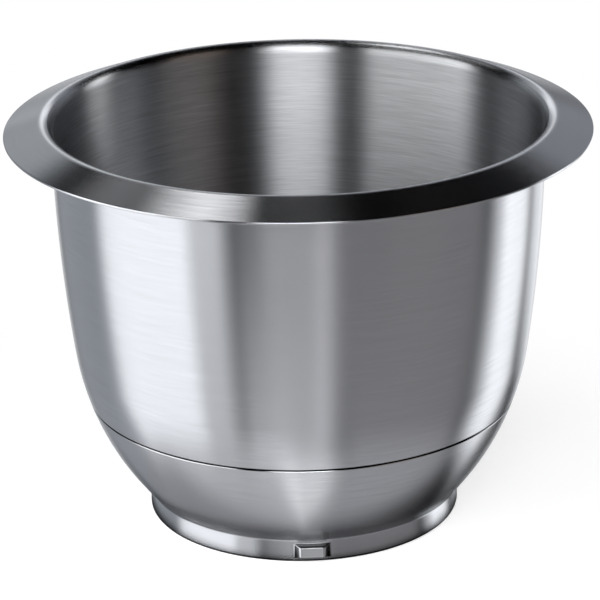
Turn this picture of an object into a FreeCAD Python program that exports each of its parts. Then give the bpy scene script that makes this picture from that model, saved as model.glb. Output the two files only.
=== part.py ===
import FreeCAD, Part
import math
import os

# Stand mixer bowl pressed from stainless sheet. A drawn bowl with a sloping rim stands in a base
# shell, a second pressing that carries on the wall's curve below a narrow groove and ends in a
# foot ring with lugs. Millimetres, +Z up, origin at the centre of the foot on the table.

# Sheet
bowl_sheet = 1.0
base_sheet = 0.8

# Rim and lip
rim_width = 20.3            # inside of the mouth to the trimmed edge, measured level
rim_slope = 21.0            # degrees that the rim falls towards its edge
lip_radius = 5.0            # bend between rim and wall, on its upper face
bowl_height = 171.5         # table to the crown of the lip

# Wall
mouth_radius = 99.7         # inside of the wall where it leaves the lip
wall_curve = 700.0          # long curve that gives the wall its taper, outside
belly_height = 72.0         # where the wall turns in towards the foot

# Seam between the two pressings
seam_height = 51.2          # upper edge of the base shell
seam_clearance = 0.1        # that edge to the end of the step above it
step_first_bend = 0.1       # the bowl steps in by one base sheet through two bends,
step_second_bend = 0.3      # each given on its hollow side
edge_round = 0.35           # rounded upper edge of the base shell
seat_depth = 8.0            # height over which the base shell hugs the bowl

# Bottom of the bowl
floor_height = 9.0          # table to the underside of the bowl's flat floor

# Foot ring
foot_radius = 65.0
foot_height = 9.0           # top of the foot's upright wall
crease_bend = 2.5           # hollow bend from that wall into the belly
foot_bend = 1.5             # rounded lower edge
ring_width = 6.0            # foot's outside to the trimmed edge of the ring that it stands on

# Lugs pressed out of the foot's upright wall
lug_count = 3
lug_bearing = 2.6           # degrees from the front, towards +X, to the first lug
lug_length = 15.0           # along the foot, at the wall
lug_reach = 2.6             # out from the wall
lug_margin = 0.7            # upright wall left free above and below a lug
lug_end_draft = 45.0        # degrees that the two ends lean in
lug_side_draft = 17.0       # degrees that the upper and lower sides lean in
lug_round = 0.8             # outer edges
lug_blend = 0.4             # hollow blend into the wall

FRONT = -90.0               # bearing of the front, in degrees from +X
BLEND_SHARE = 0.8           # most of the free wall beside a lug that its blend may take up
POINT_TOLERANCE = 1e-4
UP = FreeCAD.Vector(0, 0, 1)
ORIGIN = FreeCAD.Vector(0, 0, 0)


def run(length):
    """A straight stretch of a sheet's face."""
    return ("run", length, 0.0)


def bend(radius, turn):
    """A round stretch; the turn is in radians, positive to the left of the way that the face runs."""
    return ("bend", radius, turn)


def face_edges(start, heading, steps):
    """The edges of one face in the r-z plane, each stretch tangent to the last one."""
    edges = []
    here = FreeCAD.Vector(start[0], 0, start[1])
    for kind, size, turn in steps:
        if kind == "run":
            there = here + direction(heading) * size
            edges.append(Part.makeLine(here, there))
        else:
            side = math.copysign(math.pi / 2, turn)
            centre = here + direction(heading + side) * size
            middle = centre - direction(heading + side + turn / 2) * size
            there = centre - direction(heading + side + turn) * size
            edges.append(Part.Arc(here, middle, there).toShape())
            heading += turn
        here = there
    return edges


def direction(angle):
    """Unit vector in the r-z plane."""
    return FreeCAD.Vector(math.cos(angle), 0, math.sin(angle))


def other_face(steps, sheet):
    """The same stretches one sheet to the right of the first face."""
    moved = []
    for kind, size, turn in steps:
        if kind == "bend":
            size += math.copysign(sheet, turn)
        moved.append((kind, size, turn))
    return moved


def end_point(edges):
    """Where a face's last stretch ends."""
    return edges[-1].valueAt(edges[-1].LastParameter)


def start_point(edges):
    """Where a face's first stretch starts."""
    return edges[0].valueAt(edges[0].FirstParameter)


def turned_solid(first_face, second_face):
    """The solid of revolution between two faces that run the same way, side by side."""
    edges = list(first_face)
    edges.append(Part.makeLine(end_point(first_face), end_point(second_face)))
    edges.extend(reversed(second_face))
    if not start_point(first_face).isEqual(start_point(second_face), POINT_TOLERANCE):
        edges.append(Part.makeLine(start_point(second_face), start_point(first_face)))
    solid = Part.Face(Part.Wire(edges)).revolve(ORIGIN, UP, 360)
    return solid if solid.Volume > 0 else solid.reversed()


# The wall's long curve is upright at the lip and hands over to the belly's at this angle below level
wall_top = bowl_height - lip_radius
wall_centre_r = mouth_radius + bowl_sheet - wall_curve
belly_start = math.asin((wall_top - belly_height) / wall_curve)

# The belly's curve leaves the wall at that point and touches the hollow bend above the foot
crease_centre_r = foot_radius + crease_bend
belly_over = wall_centre_r + wall_curve * math.cos(belly_start) - crease_centre_r
belly_rise = belly_height - foot_height
belly_lean = belly_over * math.cos(belly_start) - belly_rise * math.sin(belly_start)
belly_curve = (belly_over ** 2 + belly_rise ** 2 - crease_bend ** 2) / (2 * (belly_lean + crease_bend))
belly_centre_r = wall_centre_r + (wall_curve - belly_curve) * math.cos(belly_start)
belly_centre_z = wall_top - (wall_curve - belly_curve) * math.sin(belly_start)
crease_angle = math.atan2(belly_centre_z - foot_height, crease_centre_r - belly_centre_r)

# The band where both sheets meet lies one base sheet inside the belly's curve
band_curve = belly_curve - base_sheet


def belly_angle(radius, height):
    """Angle below level of the point at a height on a circle about the belly's centre."""
    return math.asin((belly_centre_z - height) / radius)


def corner_angle(near, far, opposite):
    """Angle of a triangle between two sides, from the three lengths."""
    return math.acos((near ** 2 + far ** 2 - opposite ** 2) / (2 * near * far))


def make_bowl():
    """Rim, lip, wall, step at the seam, rounded bottom and flat floor, from one blank."""
    slope = math.radians(rim_slope)

    def rim_face(bend_radius):
        """Where a face of the rim starts at the trimmed edge, and its length up to the lip's bend."""
        level_width = rim_width - lip_radius - bend_radius * math.sin(slope)
        edge_height = wall_top + bend_radius * math.cos(slope) - level_width * math.tan(slope)
        return (mouth_radius + rim_width, edge_height), level_width / math.cos(slope)

    # Two bends take the wall from the belly's curve to the band inside it
    round_bend = bowl_sheet + step_first_bend
    outer_reach = belly_curve - round_bend
    inner_reach = band_curve + step_second_bend
    bends = round_bend + step_second_bend
    step_end = belly_angle(band_curve, seam_height + seam_clearance)
    step_start = step_end - corner_angle(outer_reach, inner_reach, bends)
    turn_in = math.pi - corner_angle(outer_reach, bends, inner_reach)
    turn_back = corner_angle(inner_reach, bends, outer_reach)

    band_height = seam_height - seat_depth
    band_end = belly_angle(band_curve, band_height)
    bottom_curve = (band_height - floor_height) / (1 - math.sin(band_end))
    floor_radius = belly_centre_r + (band_curve - bottom_curve) * math.cos(band_end)

    under_start, under_length = rim_face(lip_radius - bowl_sheet)
    upper_start, upper_length = rim_face(lip_radius)
    steps = [
        bend(lip_radius - bowl_sheet, math.pi / 2 + slope),
        bend(wall_curve, -belly_start),
        bend(belly_curve, belly_start - step_start),
        bend(round_bend, -turn_in),
        bend(step_second_bend, turn_back),
        bend(band_curve, step_end - band_end),
        bend(bottom_curve, band_end - math.pi / 2),
        run(floor_radius),
    ]
    outside = face_edges(under_start, math.pi - slope, [run(under_length)] + steps)
    inside = face_edges(upper_start, math.pi - slope, [run(upper_length)] + other_face(steps, bowl_sheet))
    return turned_solid(outside, inside)


def make_base_ring():
    """The base shell before its lugs are pressed out."""
    upper_edge = belly_angle(band_curve, seam_height)
    corner_r = belly_centre_r + band_curve * math.cos(upper_edge)
    round_reach = belly_curve - edge_round
    round_angle = math.asin(edge_round / round_reach)
    edge_length = round_reach * math.cos(round_angle) - band_curve
    steps = [
        bend(crease_bend, crease_angle),
        run(foot_height - foot_bend),
        bend(foot_bend, -math.pi / 2),
        run(ring_width - foot_bend),
    ]
    rounded_edge = [run(edge_length), bend(edge_round, -math.pi / 2 - round_angle)]
    outer_belly = [bend(belly_curve, upper_edge + round_angle - crease_angle)]
    inner_belly = [bend(band_curve, upper_edge - crease_angle)]
    corner = (corner_r, seam_height)
    outside = face_edges(corner, -upper_edge, rounded_edge + outer_belly + steps)
    inside = face_edges(corner, -upper_edge - math.pi / 2, inner_belly + other_face(steps, base_sheet))
    return turned_solid(outside, inside)


lug_height = foot_height - foot_bend - 2 * lug_margin
lug_middle = (foot_height + foot_bend) / 2
lug_face = foot_radius + lug_reach
inner_wall = foot_radius - base_sheet


def lug_block(skin):
    """A tapered block along +X up to the lug's face, smaller all round by the skin's thickness."""
    end_draft = math.radians(lug_end_draft)
    side_draft = math.radians(lug_side_draft)
    root = math.sqrt(inner_wall ** 2 - (lug_length / 2 + base_sheet) ** 2)
    sections = []
    for radius in (root, lug_face - skin):
        out = radius - foot_radius
        half_length = lug_length / 2 - out * math.tan(end_draft) - skin / math.cos(end_draft)
        half_height = lug_height / 2 - out * math.tan(side_draft) - skin / math.cos(side_draft)
        corners = [
            FreeCAD.Vector(radius, along * half_length, lug_middle + up * half_height)
            for along, up in ((-1, -1), (1, -1), (1, 1), (-1, 1))
        ]
        sections.append(Part.makePolygon(corners + corners[:1]))
    return Part.makeLoft(sections, True, True)


def lug_outside():
    """One lug with its outer edges rounded, up to the inside of the foot's wall."""
    block = lug_block(0.0)
    block = block.makeFillet(lug_round, [edge for edge in block.Edges if edge.BoundBox.XMax > foot_radius])
    return block.cut(Part.makeCylinder(inner_wall, foot_height))


def meets_wall(edge):
    """True for an edge where a lug meets the foot's upright wall."""
    on_wall = all(abs(math.hypot(v.X, v.Y) - foot_radius) < POINT_TOLERANCE for v in edge.Vertexes)
    box = edge.BoundBox
    return on_wall and box.ZMin > foot_bend + lug_margin / 2 and box.ZMax < foot_height - lug_margin / 2


def make_base_shell():
    """The base shell with hollow lugs spaced evenly round its foot."""
    shell = make_base_ring()
    outside = lug_outside()
    pocket = lug_block(base_sheet)
    bearings = [FRONT + lug_bearing + index * 360.0 / lug_count for index in range(lug_count)]
    for bearing in bearings:
        shell = shell.fuse(outside.rotated(ORIGIN, UP, bearing))
    blend = min(lug_blend, BLEND_SHARE * lug_margin)
    shell = shell.makeFillet(blend, [edge for edge in shell.Edges if meets_wall(edge)])
    for bearing in bearings:
        shell = shell.cut(pocket.rotated(ORIGIN, UP, bearing))
    return shell


def save(name, shape):
    """Write one piece as its own file."""
    solids = shape.Solids
    if len(solids) != 1 or not shape.isValid():
        raise ValueError(f"{name} is not one valid solid")
    solids[0].exportStep(f"parts/{name}.step")
    print(f"{name}: {solids[0].Volume:.0f} cubic millimetres")


os.makedirs("parts", exist_ok=True)
save("bowl_shell", make_bowl())
save("base_shell", make_base_shell())
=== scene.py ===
import math
from collections import namedtuple

import bpy
from mathutils import Matrix, Vector


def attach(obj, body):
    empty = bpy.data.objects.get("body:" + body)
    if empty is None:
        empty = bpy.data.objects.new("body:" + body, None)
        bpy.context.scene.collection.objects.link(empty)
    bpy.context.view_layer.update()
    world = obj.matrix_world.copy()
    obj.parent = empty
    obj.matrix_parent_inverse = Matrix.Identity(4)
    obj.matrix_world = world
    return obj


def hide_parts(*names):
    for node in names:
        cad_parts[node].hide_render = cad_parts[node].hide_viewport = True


# Stand mixer bowl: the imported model's two steel pressings, rebuilt finer from the same sizes, with a
# brushed finish, on a pale floor inside a ball of soft light panels. Profiles are in millimetres.

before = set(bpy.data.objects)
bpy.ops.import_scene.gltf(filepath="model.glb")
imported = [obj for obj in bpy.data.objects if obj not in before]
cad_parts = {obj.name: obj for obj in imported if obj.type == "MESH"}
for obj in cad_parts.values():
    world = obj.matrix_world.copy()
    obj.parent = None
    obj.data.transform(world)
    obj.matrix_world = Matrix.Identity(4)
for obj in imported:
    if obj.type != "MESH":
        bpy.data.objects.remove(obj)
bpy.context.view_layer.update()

MM = 0.001

bowl_sheet = 1.0
base_sheet = 0.8
rim_width = 20.3
rim_slope = math.radians(21.0)
lip_radius = 5.0
bowl_height = 171.5
mouth_radius = 99.7
wall_curve = 700.0
belly_height = 72.0
seam_height = 51.2
seam_clearance = 0.1
step_first_bend = 0.1
step_second_bend = 0.3
edge_round = 0.35
seat_depth = 8.0
floor_height = 9.0
foot_radius = 65.0
foot_height = 9.0
crease_bend = 2.5
foot_bend = 1.5
ring_width = 6.0
lug_count = 3
lug_bearing = 2.6
lug_length = 15.0
lug_reach = 2.6
lug_margin = 0.7
lug_end_draft = math.radians(45.0)
lug_side_draft = math.radians(17.0)
lug_round = 0.8
lug_blend = 0.4

# How finely the profiles and rings are divided
LONGEST_ROW = 4.0
ROW_TURN = math.radians(6.0)
PLAIN_COLUMNS = 360
OPEN_COLUMN = math.radians(1.5)
LUG_ROW = 0.12
LUG_COLUMN = math.radians(0.3)
LUG_ZONE = math.radians(9.6)

# A length too small to matter, the least rise that counts as a lug, and the step that slopes are taken on
TINY = 1e-6
LEAST_RISE = 1e-5
SLOPE_STEP = 1e-3

# A lug's faces are polished from this far out of the wall
LUG_POLISH_FROM = 0.15

# Painted shade on a lug's upper and lower sides, full where the normal's rise is this large
LUG_SHADE_FROM = 0.8

# The inside's coarser brushing starts this far below the lip's crown, and fades in over this height
COARSE_BELOW = 0.6
COARSE_FADE = 2.5

# Painted shade in the seam's groove starts this deep under the surface and is full at twice that, this near
# to the seam
SEAM_SHADE_DEPTH = 0.12
SEAM_REACH = 0.9

# The rim's trimmed edge has its two corners rounded
RIM_EDGE_ROUND = 0.3

# A turned mesh's texture coordinates: turns round the axis, and metres along the profile
UV_NAME = "round_and_along"

Point = namedtuple("Point", "r z heading")


def run(length):
    """A straight stretch of a profile."""
    return ("run", length, 0.0)


def bend(radius, turn):
    """A round stretch of a profile, positive to the left."""
    return ("bend", radius, turn)


def trace(start, heading, steps):
    """Points along straight and round stretches, each tangent to the last one."""
    points = [Point(*start, heading)]
    for kind, size, turn in steps:
        here = points[-1][:2]
        if kind == "run":
            count = math.ceil(size / LONGEST_ROW)
            for i in range(1, count + 1):
                points.append(Point(*moved(here, heading, size * i / count), heading))
        else:
            side = math.copysign(math.pi / 2, turn)
            centre = moved(here, heading + side, size)
            count = max(math.ceil(abs(turn) / ROW_TURN), math.ceil(abs(turn) * size / LONGEST_ROW))
            for i in range(1, count + 1):
                way = heading + turn * i / count
                points.append(Point(*moved(centre, way + side, -size), way))
        heading = points[-1].heading
    return points


def other_face(steps, sheet):
    """The same stretches one sheet to the right."""
    shifted = []
    for kind, size, turn in steps:
        if kind == "bend":
            size += math.copysign(sheet, turn)
        shifted.append((kind, size, turn))
    return shifted


def moved(point, heading, reach):
    """A point further along a heading."""
    return (point[0] + math.cos(heading) * reach, point[1] + math.sin(heading) * reach)


def turned_back(points):
    """The same face run the other way, so that its outside comes on the left."""
    return [Point(p.r, p.z, p.heading + math.pi) for p in reversed(points)]


def straight(first, last):
    """The trimmed edge between two faces' ends, with its outside on the left."""
    heading = math.atan2(last[1] - first[1], last[0] - first[0])
    return [Point(first[0], first[1], heading), Point(last[0], last[1], heading)]


# Where the wall hands over to the belly, and the belly to the foot's hollow bend
wall_top = bowl_height - lip_radius
wall_centre_r = mouth_radius + bowl_sheet - wall_curve
belly_start = math.asin((wall_top - belly_height) / wall_curve)
crease_centre_r = foot_radius + crease_bend
belly_over = wall_centre_r + wall_curve * math.cos(belly_start) - crease_centre_r
belly_rise = belly_height - foot_height
belly_lean = belly_over * math.cos(belly_start) - belly_rise * math.sin(belly_start)
belly_curve = (belly_over ** 2 + belly_rise ** 2 - crease_bend ** 2) / (2 * (belly_lean + crease_bend))
belly_centre_r = wall_centre_r + (wall_curve - belly_curve) * math.cos(belly_start)
belly_centre_z = wall_top - (wall_curve - belly_curve) * math.sin(belly_start)
crease_angle = math.atan2(belly_centre_z - foot_height, crease_centre_r - belly_centre_r)
band_curve = belly_curve - base_sheet


def belly_angle(radius, height):
    """Angle below level of the point at a height on a circle about the belly's centre."""
    return math.asin((belly_centre_z - height) / radius)


def corner_angle(near, far, opposite):
    """Angle of a triangle between two sides, from the three lengths."""
    return math.acos((near ** 2 + far ** 2 - opposite ** 2) / (2 * near * far))


def bowl_strips():
    """The bowl's smooth faces, each a list of points with its outside on the left."""
    round_bend = bowl_sheet + step_first_bend
    outer_reach = belly_curve - round_bend
    inner_reach = band_curve + step_second_bend
    bends = round_bend + step_second_bend
    step_end = belly_angle(band_curve, seam_height + seam_clearance)
    step_start = step_end - corner_angle(outer_reach, inner_reach, bends)
    turn_in = math.pi - corner_angle(outer_reach, bends, inner_reach)
    turn_back = corner_angle(inner_reach, bends, outer_reach)
    band_height = seam_height - seat_depth
    band_end = belly_angle(band_curve, band_height)
    bottom_curve = (band_height - floor_height) / (1 - math.sin(band_end))
    floor_radius = belly_centre_r + (band_curve - bottom_curve) * math.cos(band_end)

    def rim_face(bend_radius):
        """Where a face of the rim starts at the trimmed edge, and its length up to the lip's bend."""
        level_width = rim_width - lip_radius - bend_radius * math.sin(rim_slope)
        edge_height = wall_top + bend_radius * math.cos(rim_slope) - level_width * math.tan(rim_slope)
        return (mouth_radius + rim_width, edge_height), level_width / math.cos(rim_slope)

    under_start, under_length = rim_face(lip_radius - bowl_sheet)
    upper_start, upper_length = rim_face(lip_radius)
    steps = [
        bend(lip_radius - bowl_sheet, math.pi / 2 + rim_slope),
        bend(wall_curve, -belly_start),
        bend(belly_curve, belly_start - step_start),
        bend(round_bend, -turn_in),
        bend(step_second_bend, turn_back),
        bend(band_curve, step_end - band_end),
        bend(bottom_curve, band_end - math.pi / 2),
        run(floor_radius),
    ]
    heading = math.pi - rim_slope
    upper_turn = math.pi / 2 - rim_slope
    under_turn = math.pi / 2 + rim_slope
    upper_cut = RIM_EDGE_ROUND * math.tan(upper_turn / 2)
    under_cut = RIM_EDGE_ROUND * math.tan(under_turn / 2)
    upper_start = moved(upper_start, heading, upper_cut)
    under_start = moved(under_start, heading, under_cut)
    outside = trace(under_start, heading, [run(under_length - under_cut)] + steps)
    inside = trace(upper_start, heading, [run(upper_length - upper_cut)] + other_face(steps, bowl_sheet))
    edge = trace(upper_start, -rim_slope, [
        bend(RIM_EDGE_ROUND, -upper_turn),
        run(bowl_sheet / math.cos(rim_slope) - upper_cut - under_cut),
        bend(RIM_EDGE_ROUND, -under_turn),
    ])
    return [outside, turned_back(inside), edge]


def base_strips():
    """The base shell's smooth faces."""
    upper_edge = belly_angle(band_curve, seam_height)
    corner = (belly_centre_r + band_curve * math.cos(upper_edge), seam_height)
    round_reach = belly_curve - edge_round
    round_angle = math.asin(edge_round / round_reach)
    edge_length = round_reach * math.cos(round_angle) - band_curve
    steps = [
        bend(crease_bend, crease_angle),
        run(foot_height - foot_bend),
        bend(foot_bend, -math.pi / 2),
        run(ring_width - foot_bend),
    ]
    rounded_edge = [run(edge_length), bend(edge_round, -math.pi / 2 - round_angle)]
    outer_belly = [bend(belly_curve, upper_edge + round_angle - crease_angle)]
    inner_belly = [bend(band_curve, upper_edge - crease_angle)]
    outside = trace(corner, -upper_edge, rounded_edge + outer_belly + steps)
    inside = trace(corner, -upper_edge - math.pi / 2, inner_belly + other_face(steps, base_sheet))
    edge = straight(outside[-1][:2], inside[-1][:2])
    return [outside, turned_back(inside), edge]


def finer_rows(points, low, high, row):
    """Divides the straight upright stretches between two heights into shorter rows."""
    out = [points[0]]
    for before, after in zip(points, points[1:]):
        upright = abs(before.r - after.r) < TINY
        inside = max(before.z, after.z) <= high + TINY and min(before.z, after.z) >= low - TINY
        count = math.ceil(abs(after.z - before.z) / row) if upright and inside else 1
        for i in range(1, count + 1):
            share = i / count
            r = before.r + (after.r - before.r) * share
            z = before.z + (after.z - before.z) * share
            out.append(Point(r, z, after.heading))
    return out


def soft_least(a, b, reach):
    """The lesser of two heights, rounded where they meet."""
    return min(a, b) - max(reach - abs(a - b), 0.0) ** 2 / (4 * reach)


lug_middle = (foot_height + foot_bend) / 2
lug_height = foot_height - foot_bend - 2 * lug_margin
lug_centres = [math.radians(lug_bearing + i * 360.0 / lug_count - 90.0) for i in range(lug_count)]


def lug_rise(angle, z, wall_r, skin):
    """How far a lug stands out of the upright wall at a bearing and height."""
    if not foot_bend < z < foot_height:
        return 0.0
    turn = min(abs((angle - c + math.pi) % (2 * math.pi) - math.pi) for c in lug_centres)
    if turn > LUG_ZONE:
        return 0.0
    out = wall_r - foot_radius
    half_length = lug_length / 2 - out * math.tan(lug_end_draft) - skin / math.cos(lug_end_draft)
    half_height = lug_height / 2 - out * math.tan(lug_side_draft) - skin / math.cos(lug_side_draft)
    along = wall_r * math.sin(turn)
    face = (foot_radius + lug_reach - skin) / math.cos(turn) - wall_r
    ends = (half_length - along) / math.tan(lug_end_draft)
    sides = (half_height - abs(z - lug_middle)) / math.tan(lug_side_draft)
    rise = soft_least(soft_least(ends, sides, lug_round), face, lug_round)
    return -soft_least(-rise, 0.0, lug_blend)


def lug_normal(p, bearing, skin, outer):
    """A lug face's normal at a point: its parts outwards, upwards and round the foot."""
    turn = SLOPE_STEP / p.r
    up = lug_rise(bearing, p.z + SLOPE_STEP, p.r, skin) - lug_rise(bearing, p.z - SLOPE_STEP, p.r, skin)
    around = lug_rise(bearing + turn, p.z, p.r, skin) - lug_rise(bearing - turn, p.z, p.r, skin)
    up /= 2 * SLOPE_STEP
    around /= 2 * SLOPE_STEP
    size = math.sqrt(1 + up ** 2 + around ** 2) * (1 if outer else -1)
    return 1 / size, -up / size, -around / size


def coarse_share(p):
    """How coarse the inside's brushing is: full below the lip, and none from the crown outwards."""
    if p.r > mouth_radius + lip_radius:
        return 0.0
    return min(max((bowl_height - COARSE_BELOW - p.z) / COARSE_FADE, 0.0), 1.0)


def seam_painted_shade(p):
    """How dark the painted shade in the seam's groove is, on the shell's upper edge and on the bowl's step
    above it.
    """
    reach = math.hypot(p.r - belly_centre_r, p.z - belly_centre_z)
    if abs(p.z - seam_height) >= SEAM_REACH or reach <= band_curve - bowl_sheet / 2:
        return 0.0
    return min(max((belly_curve - SEAM_SHADE_DEPTH - reach) / SEAM_SHADE_DEPTH, 0.0), 1.0)


def columns(fine):
    """Bearings of a ring's columns, closer together at the lugs."""
    whole = 2 * math.pi
    if not fine:
        return [whole * i / PLAIN_COLUMNS for i in range(PLAIN_COLUMNS + 1)]
    bearings = []
    gap = whole / lug_count - 2 * LUG_ZONE
    lug_columns = round(2 * LUG_ZONE / LUG_COLUMN)
    gap_columns = math.ceil(gap / OPEN_COLUMN)
    for centre in lug_centres:
        bearings += [centre - LUG_ZONE + 2 * LUG_ZONE * i / lug_columns for i in range(lug_columns)]
        bearings += [centre + LUG_ZONE + gap * i / gap_columns for i in range(gap_columns)]
    return bearings + [bearings[0] + whole]


def mesh_object(name, vertices, faces):
    """A new object in the scene from its corners and faces."""
    mesh = bpy.data.meshes.new(name)
    mesh.from_pydata(vertices, [], faces)
    obj = bpy.data.objects.new(name, mesh)
    bpy.context.scene.collection.objects.link(obj)
    return obj


def turned_mesh(name, strips, fine=False, coarse_strip=None):
    """A mesh of revolution from strips of points. A fine one has the lugs on its upright stretches."""
    bearings = columns(fine)
    wide = len(bearings)
    vertices, normals, uvs, quads = [], [], [], []
    brushing, painted_shade, second = [], [], []
    for strip in strips:
        first = len(vertices)
        length = 0.0
        previous = strip[0]
        for p in strip:
            length += math.hypot(p.r - previous.r, p.z - previous.z)
            previous = p
            outwards = -math.sin(p.heading)
            upwards = math.cos(p.heading)
            outer = outwards > 0
            skin = 0.0 if outer else base_sheet
            upright = fine and abs(upwards) < TINY
            coarse = coarse_share(p) if strip is coarse_strip else 0.0
            # painted shade in the seam's groove
            seam = seam_painted_shade(p)
            for bearing in bearings:
                rise = lug_rise(bearing, p.z, p.r, skin) if upright else 0.0
                normal_r, normal_z, normal_a = outwards, upwards, 0.0
                dark = seam
                if rise > LEAST_RISE:
                    normal_r, normal_z, normal_a = lug_normal(p, bearing, skin, outer)
                    # painted shade on the lug's sides that face up or down
                    dark = min(abs(normal_z) / LUG_SHADE_FROM, 1.0) ** 2
                cos, sin = math.cos(bearing), math.sin(bearing)
                r = p.r + rise
                vertices.append((r * cos * MM, r * sin * MM, p.z * MM))
                normals.append((normal_r * cos - normal_a * sin, normal_r * sin + normal_a * cos, normal_z))
                uvs.append(((bearing - bearings[0]) / (2 * math.pi), length * MM))
                brushing.append(coarse)
                painted_shade.append(dark)
                second.append(coarse > 0 or outer and rise > LUG_POLISH_FROM)
        for row in range(len(strip) - 1):
            for column in range(wide - 1):
                a = first + row * wide + column
                quads.append((a, a + wide, a + wide + 1, a + 1))
    obj = mesh_object(name, vertices, quads)
    mesh = obj.data
    layer = mesh.uv_layers.new(name=UV_NAME)
    for loop in mesh.loops:
        layer.data[loop.index].uv = uvs[loop.vertex_index]
    mesh.attributes.new("brushing", "FLOAT", "POINT").data.foreach_set("value", brushing)
    # painted shade in the seam's groove and on the lugs' upper and lower sides
    mesh.attributes.new("painted_shade", "FLOAT", "POINT").data.foreach_set("value", painted_shade)
    mesh.polygons.foreach_set("material_index", [int(all(second[v] for v in quad)) for quad in quads])
    mesh.shade_smooth()
    mesh.normals_split_custom_set_from_vertices(normals)
    return obj


BLACK = (0.0, 0.0, 0.0, 1.0)
WHITE = (1.0, 1.0, 1.0, 1.0)


class Nodes:
    """Short calls for a material's or a world's nodes."""

    def __init__(self, owner):
        owner.use_nodes = True
        self.tree = owner.node_tree
        self.tree.nodes.clear()

    def add(self, kind, **settings):
        node = self.tree.nodes.new(kind)
        for name, value in settings.items():
            setattr(node, name, value)
        return node

    def feed(self, socket, value):
        if isinstance(value, bpy.types.NodeSocket):
            self.tree.links.new(value, socket)
        else:
            socket.default_value = value

    def math(self, operation, *values):
        node = self.add("ShaderNodeMath", operation=operation)
        for socket, value in zip(node.inputs, values):
            self.feed(socket, value)
        return node.outputs[0]

    def fall(self, value, half, soft):
        """1 within half of zero, 0 beyond, with a soft step between."""
        node = self.add("ShaderNodeMapRange", interpolation_type="SMOOTHSTEP")
        for socket, number in zip(node.inputs, (value, half - soft, half + soft, 1.0, 0.0)):
            self.feed(socket, number)
        return node.outputs[0]

    def between(self, value, low, high):
        """A 0 to 1 value spread over a range."""
        node = self.add("ShaderNodeMapRange")
        for socket, number in zip(node.inputs, (value, 0.0, 1.0, low, high)):
            self.feed(socket, number)
        return node.outputs[0]

    def plus(self, share, first, second):
        """The first colour with a share of the second added to it."""
        node = self.add("ShaderNodeMix", data_type="RGBA", blend_type="ADD")
        self.feed(node.inputs["Factor"], share)
        self.feed(node.inputs[6], first)
        self.feed(node.inputs[7], second)
        return node.outputs[2]

    def scaled(self, number, colour):
        """A colour made brighter or darker by a number."""
        node = self.add("ShaderNodeVectorMath", operation="SCALE")
        node.inputs[0].default_value = colour
        self.feed(node.inputs["Scale"], number)
        return node.outputs[0]

    def noise(self, vector, detail, scale=1.0):
        node = self.add("ShaderNodeTexNoise")
        self.feed(node.inputs["Vector"], vector)
        node.inputs["Scale"].default_value = scale
        node.inputs["Detail"].default_value = detail
        return node.outputs["Fac"]

    def mixed(self, share, first, second):
        """The first shader where the share is 0, the second where it is 1."""
        node = self.add("ShaderNodeMixShader")
        for socket, value in zip(node.inputs, (share, first, second)):
            self.feed(socket, value)
        return node.outputs[0]

    def show(self, shader, kind="ShaderNodeOutputMaterial"):
        """Make this shader the one that is seen."""
        self.feed(self.add(kind).inputs["Surface"], shader)


# Steel, satin outside and coarser inside: its colour, its roughness, and how far the brushing varies it
STEEL = (0.62, 0.63, 0.65)
SATIN_ROUGHNESS, COARSE_ROUGHNESS = 0.19, 0.38
SATIN_STREAK, COARSE_STREAK = 0.1, 0.44

# The share of its brightness that the inside keeps, for coarser brushing and as painted shade, and that the
# painted shade in the seam and on the lugs leaves; and the inside's edge tint, a painted shade at low angles
COARSE_AND_INSIDE_SHADE = 0.85
PAINTED_SHADE_LEVEL = 0.06
INSIDE_SHADE_EDGE_TINT = 0.25

# Brushed lines from broad to fine: the radius of the circle that their noise follows, which makes them
# shorter, their number to a metre along the profile, the noise's detail, and their share in the whole
BrushLines = namedtuple("BrushLines", "around across detail share")
BRUSHING = [
    BrushLines(1.6, 90.0, 3.0, 0.15),
    BrushLines(3.0, 800.0, 2.0, 0.35),
    BrushLines(7.0, 2600.0, 2.0, 0.5),
]
BRUSH_CONTRAST = 2.2
BRUSH_ROUGHNESS = 0.05
BUMP_STRENGTH = 0.12
BUMP_HEIGHT = 0.00005

# The lugs' metal, brighter than the other steel as a painted sheen, and the wear that varies its roughness
LUG_STEEL_AND_SHEEN = (0.7, 0.71, 0.72)
LUG_ROUGHNESS = 0.11
WEAR_ROUGHNESS = 0.04
WEAR_SCALE = 900.0
WEAR_DETAIL = 3.0


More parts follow.
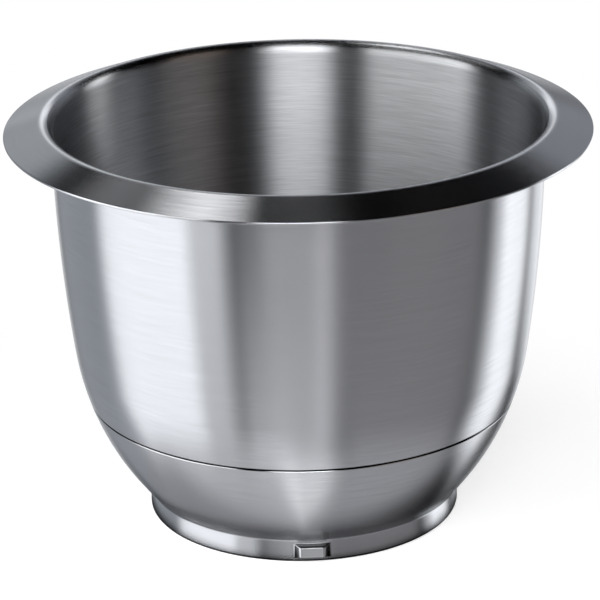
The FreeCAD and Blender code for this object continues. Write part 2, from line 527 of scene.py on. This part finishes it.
def brushed_steel(name, edge_tint=1.0):
    """Steel brushed round the axis: fine lines along each ring spread the highlight across them."""
    material = bpy.data.materials.new(name)
    n = Nodes(material)
    place = n.add("ShaderNodeSeparateXYZ")
    n.feed(place.inputs[0], n.add("ShaderNodeUVMap", uv_map=UV_NAME).outputs[0])
    turn = n.math("MULTIPLY", place.outputs["X"], 2 * math.pi)
    cos, sin = n.math("COSINE", turn), n.math("SINE", turn)
    lines = 0.0
    for kind in BRUSHING:
        spot = n.add("ShaderNodeCombineXYZ")
        n.feed(spot.inputs[0], n.math("MULTIPLY", cos, kind.around))
        n.feed(spot.inputs[1], n.math("MULTIPLY", sin, kind.around))
        n.feed(spot.inputs[2], n.math("MULTIPLY", place.outputs["Y"], kind.across))
        lines = n.math("MULTIPLY_ADD", n.noise(spot.outputs[0], kind.detail), kind.share, lines)
    contrast = n.math("MULTIPLY", n.math("SUBTRACT", lines, 0.5), BRUSH_CONTRAST)
    brushing = n.add("ShaderNodeAttribute", attribute_name="brushing").outputs["Fac"]
    shader = n.add("ShaderNodeBsdfPrincipled")
    tint = n.math("MULTIPLY_ADD", contrast, n.between(brushing, SATIN_STREAK, COARSE_STREAK), 1.0)
    # the inside darker, partly for its coarser brushing and partly as painted shade
    tint = n.math("MULTIPLY", tint, n.between(brushing, 1.0, COARSE_AND_INSIDE_SHADE))
    # painted shade darkens the seam's groove and the lugs' upper and lower sides
    painted_shade = n.add("ShaderNodeAttribute", attribute_name="painted_shade").outputs["Fac"]
    tint = n.math("MULTIPLY", tint, n.between(painted_shade, 1.0, PAINTED_SHADE_LEVEL))
    n.feed(shader.inputs["Base Color"], n.scaled(tint, STEEL))
    rough = n.between(brushing, SATIN_ROUGHNESS, COARSE_ROUGHNESS)
    n.feed(shader.inputs["Roughness"], n.math("MULTIPLY_ADD", contrast, -BRUSH_ROUGHNESS, rough))
    shader.inputs["Metallic"].default_value = 1.0
    shader.inputs["Specular Tint"].default_value = (edge_tint, edge_tint, edge_tint, 1.0)
    shader.inputs["Anisotropic"].default_value = 1.0
    shader.inputs["Anisotropic Rotation"].default_value = 0.25
    n.feed(shader.inputs["Tangent"], n.add("ShaderNodeTangent", direction_type="RADIAL", axis="Z").outputs[0])
    bump = n.add("ShaderNodeBump")
    bump.inputs["Strength"].default_value = BUMP_STRENGTH
    bump.inputs["Distance"].default_value = BUMP_HEIGHT
    n.feed(bump.inputs["Height"], lines)
    n.feed(shader.inputs["Normal"], bump.outputs[0])
    n.show(shader.outputs[0])
    return material


def lug_steel():
    """The lugs' polished metal, brighter than the other steel as a painted sheen, with painted shade on its
    upper and lower sides.
    """
    material = bpy.data.materials.new("lug_steel")
    n = Nodes(material)
    shader = n.add("ShaderNodeBsdfPrincipled")
    # painted shade darkens the lugs' upper and lower sides
    painted_shade = n.add("ShaderNodeAttribute", attribute_name="painted_shade").outputs["Fac"]
    n.feed(shader.inputs["Base Color"], n.scaled(n.between(painted_shade, 1.0, PAINTED_SHADE_LEVEL), LUG_STEEL_AND_SHEEN))
    shader.inputs["Metallic"].default_value = 1.0
    wear = n.noise(n.add("ShaderNodeTexCoord").outputs["Object"], WEAR_DETAIL, WEAR_SCALE)
    roughness = n.between(wear, LUG_ROUGHNESS - WEAR_ROUGHNESS, LUG_ROUGHNESS + WEAR_ROUGHNESS)
    n.feed(shader.inputs["Roughness"], roughness)
    n.show(shader.outputs[0])
    return material


# Camera, fitted to the outlines in the photograph: its place, its three turns in degrees, and its focal
# length in pixels of the 600 that the picture is wide
CAMERA_PLACE = (0.0, -1.2428, 0.56425)
CAMERA_PITCH, CAMERA_YAW, CAMERA_ROLL = 20.907, 0.02, -0.948
FOCAL_PIXELS, PICTURE_PIXELS = 3196.5, 600.0
SENSOR_WIDTH = 36.0


def make_camera():
    """The camera, looking down at the bowl from the front."""
    data = bpy.data.cameras.new("camera")
    data.sensor_width = SENSOR_WIDTH
    data.lens = SENSOR_WIDTH * FOCAL_PIXELS / PICTURE_PIXELS
    camera = bpy.data.objects.new("camera", data)
    bpy.context.scene.collection.objects.link(camera)
    yaw = Matrix.Rotation(math.radians(CAMERA_YAW), 4, "Z")
    pitch = Matrix.Rotation(math.pi / 2 - math.radians(CAMERA_PITCH), 4, "X")
    roll = Matrix.Rotation(math.radians(CAMERA_ROLL), 4, "Z")
    camera.matrix_world = Matrix.Translation(CAMERA_PLACE) @ yaw @ pitch @ roll
    bpy.context.scene.camera = camera


# Light panels on the inside of a ball. In degrees, azimuth 0 is towards the camera and +90 towards +X, and
# elevation 0 is level with the ball's centre. Where panels overlap, their levels add up.
Card = namedtuple("Card", "azimuth half_width soft_width elevation half_height soft_height level")
CARDS = [
    # Seen in the outside wall and the foot
    Card(-128.0, 24.0, 5.0, -22.0, 22.0, 5.0, (0.36, 0.38, 0.41)),
    Card(-78.0, 26.0, 5.0, -22.0, 22.0, 5.0, (1.37, 1.39, 1.43)),
    Card(-43.0, 9.0, 6.0, -22.0, 22.0, 5.0, (0.70, 0.71, 0.73)),
    Card(-9.0, 21.0, 6.0, -22.0, 22.0, 5.0, (0.155, 0.155, 0.16)),
    Card(-8.0, 23.0, 9.0, -40.0, 14.0, 8.0, (0.38, 0.38, 0.39)),
    Card(50.0, 42.0, 6.0, -22.0, 22.0, 5.0, (0.25, 0.245, 0.255)),
    Card(105.0, 6.0, 5.0, -22.0, 22.0, 5.0, (0.62, 0.63, 0.65)),
    Card(120.0, 12.0, 5.0, -22.0, 22.0, 5.0, (1.42, 1.44, 1.47)),
    Card(148.0, 10.0, 5.0, -13.0, 12.0, 5.0, (1.0, 1.02, 1.05)),
    Card(180.0, 24.0, 5.0, -17.0, 17.0, 4.0, (0.75, 0.76, 0.78)),
    # Seen in the lip's crown
    Card(180.0, 10.0, 4.0, 21.0, 3.5, 3.0, (0.9, 0.9, 0.92)),
    # Seen in the base shell, which looks down
    Card(-135.0, 45.0, 10.0, -70.0, 26.0, 5.0, (0.26, 0.26, 0.28)),
    Card(-50.0, 40.0, 10.0, -70.0, 26.0, 5.0, (0.62, 0.62, 0.64)),
    Card(5.0, 20.0, 10.0, -72.0, 20.0, 5.0, (1.0, 1.0, 1.02)),
    Card(68.0, 42.0, 10.0, -70.0, 26.0, 5.0, (0.44, 0.44, 0.46)),
    # Seen in the inside
    Card(-65.0, 30.0, 3.0, 20.0, 14.0, 5.0, (4.1, 4.1, 4.1)),
    Card(-1.0, 16.0, 5.0, 27.0, 21.0, 5.0, (4.75, 4.75, 4.8)),
    Card(0.0, 16.0, 8.0, 62.0, 6.0, 4.0, (1.5, 1.5, 1.52)),
    Card(54.0, 14.0, 6.0, 28.0, 22.0, 6.0, (0.36, 0.29, 0.25)),
    Card(114.0, 7.0, 4.0, 20.0, 14.0, 5.0, (3.0, 3.0, 3.0)),
    # Seen in the rim
    Card(-157.0, 23.0, 6.0, 22.0, 12.0, 5.0, (0.40, 0.42, 0.44)),
    Card(-166.0, 9.0, 4.0, 7.0, 4.0, 3.0, (0.40, 0.42, 0.44)),
    Card(157.0, 23.0, 6.0, 20.0, 14.0, 5.0, (0.26, 0.27, 0.30)),
    Card(-157.0, 10.0, 4.0, 47.0, 4.0, 3.0, (0.40, 0.40, 0.41)),
    Card(-161.0, 8.0, 2.5, 57.5, 5.5, 2.5, (3.0, 3.0, 3.0)),
]


TENT_RADIUS = 1.6
TENT_HEIGHT = 0.1
TENT_RINGS, TENT_SIDES = 32, 64


def make_tent():
    """The ball of light panels, hidden from the camera."""
    centre = Vector((0.0, 0.0, TENT_HEIGHT))
    vertices, faces = [], []
    for ring in range(TENT_RINGS + 1):
        tilt = math.pi * ring / TENT_RINGS
        for side in range(TENT_SIDES):
            turn = 2 * math.pi * side / TENT_SIDES
            way = Vector((math.sin(tilt) * math.cos(turn), math.sin(tilt) * math.sin(turn), math.cos(tilt)))
            vertices.append(centre + way * TENT_RADIUS)
    for ring in range(TENT_RINGS):
        for side in range(TENT_SIDES):
            a, b = ring * TENT_SIDES + side, ring * TENT_SIDES + (side + 1) % TENT_SIDES
            faces.append((a, b, b + TENT_SIDES, a + TENT_SIDES))
    tent = mesh_object("light_tent", vertices, faces)
    material = bpy.data.materials.new("light_tent")
    n = Nodes(material)
    way = n.add("ShaderNodeVectorMath", operation="SUBTRACT")
    n.feed(way.inputs[0], n.add("ShaderNodeNewGeometry").outputs["Position"])
    way.inputs[1].default_value = centre
    unit = n.add("ShaderNodeVectorMath", operation="NORMALIZE")
    n.feed(unit.inputs[0], way.outputs[0])
    part = n.add("ShaderNodeSeparateXYZ")
    n.feed(part.inputs[0], unit.outputs[0])
    forwards = n.math("MULTIPLY", part.outputs["Y"], -1.0)
    azimuth = n.math("DEGREES", n.math("ARCTAN2", part.outputs["X"], forwards))
    elevation = n.math("DEGREES", n.math("ARCSINE", part.outputs["Z"]))
    level = BLACK
    for card in CARDS:
        aside = n.math("ABSOLUTE", n.math("WRAP", n.math("SUBTRACT", azimuth, card.azimuth), 180.0, -180.0))
        above = n.math("ABSOLUTE", n.math("SUBTRACT", elevation, card.elevation))
        wide = n.fall(aside, card.half_width, card.soft_width)
        high = n.fall(above, card.half_height, card.soft_height)
        level = n.plus(n.math("MULTIPLY", wide, high), level, card.level + (1.0,))
    glow = n.add("ShaderNodeEmission")
    n.feed(glow.inputs["Color"], level)
    n.show(glow.outputs[0])
    tent.data.materials.append(material)
    tent.visible_camera = False
    tent.visible_shadow = False


# Floor: paint that keeps the bowl's shadow up to the shadow's radius, lifted towards white for the camera
# alone, and white beyond. The steel sees instead a black strip by the foot, a painted contact shadow in its
# reflection, and the panels through the rest.
FLOOR_HALF = 3.0
FLOOR_PAINT = (0.82, 0.82, 0.82, 1.0)
FLOOR_LIFT = 0.62
SHADOW_RADIUS, SHADOW_FADE = 0.16, 0.08
CONTACT_SHADOW_RADIUS, CONTACT_SHADOW_FADE = 0.0695, 0.004


def make_floor():
    """A pale floor that runs out into the white background."""
    half = FLOOR_HALF
    corners = [(-half, -half, 0), (half, -half, 0), (half, half, 0), (-half, half, 0)]
    floor = mesh_object("floor", corners, [(0, 1, 2, 3)])
    material = bpy.data.materials.new("floor")
    n = Nodes(material)
    path = n.add("ShaderNodeLightPath")
    centre_distance = n.add("ShaderNodeVectorMath", operation="LENGTH")
    n.feed(centre_distance.inputs[0], n.add("ShaderNodeNewGeometry").outputs["Position"])
    distance = centre_distance.outputs["Value"]
    paint = n.add("ShaderNodeBsdfDiffuse")
    paint.inputs["Color"].default_value = FLOOR_PAINT
    lift = n.add("ShaderNodeEmission")
    lift.inputs["Color"].default_value = WHITE
    n.feed(lift.inputs["Strength"], n.math("MULTIPLY", path.outputs["Is Camera Ray"], FLOOR_LIFT))
    near = n.add("ShaderNodeAddShader")
    n.feed(near.inputs[0], paint.outputs[0])
    n.feed(near.inputs[1], lift.outputs[0])
    far = n.add("ShaderNodeEmission")
    far.inputs["Color"].default_value = WHITE
    seen = n.mixed(n.fall(distance, SHADOW_RADIUS, SHADOW_FADE), far.outputs[0], near.outputs[0])
    clear = n.add("ShaderNodeBsdfTransparent")
    # a black strip by the foot, seen only in the steel: a painted contact shadow
    strip = n.add("ShaderNodeBsdfDiffuse")
    strip.inputs["Color"].default_value = BLACK
    reflection_with_painted_shadow = n.mixed(n.fall(distance, CONTACT_SHADOW_RADIUS, CONTACT_SHADOW_FADE), clear.outputs[0], strip.outputs[0])
    n.show(n.mixed(path.outputs["Is Glossy Ray"], seen, reflection_with_painted_shadow))
    floor.data.materials.append(material)


WORLD_LEVEL = 0.6


def make_world():
    """White for whatever looks straight at it, and plain light for the rest."""
    world = bpy.data.worlds.new("world")
    bpy.context.scene.world = world
    n = Nodes(world)
    path = n.add("ShaderNodeLightPath")
    seen = n.math("MAXIMUM", path.outputs["Is Camera Ray"], path.outputs["Is Glossy Ray"])
    seen = n.math("MAXIMUM", seen, path.outputs["Is Transmission Ray"])
    back = n.add("ShaderNodeBackground")
    back.inputs["Color"].default_value = WHITE
    n.feed(back.inputs["Strength"], n.between(seen, WORLD_LEVEL, 1.0))
    n.show(back.outputs[0], "ShaderNodeOutputWorld")


make_camera()

bowl_faces = bowl_strips()
bowl = turned_mesh("bowl_brushed", bowl_faces, coarse_strip=bowl_faces[1])
bowl.data.materials.append(brushed_steel("bowl_steel"))
# the inside's copy of the steel, its reflections at low angles darkened as painted shade
bowl.data.materials.append(brushed_steel("bowl_steel_inside_shaded", INSIDE_SHADE_EDGE_TINT))
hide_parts("bowl_shell")
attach(bowl, "root")

base_faces = [finer_rows(strip, foot_bend, foot_height, LUG_ROW) for strip in base_strips()]
base = turned_mesh("base_brushed", base_faces, fine=True)
base.data.materials.append(brushed_steel("base_steel"))
base.data.materials.append(lug_steel())
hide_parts("base_shell")
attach(base, "root")

make_world()
make_tent()
make_floor()
bpy.context.scene.view_settings.view_transform = "Standard"
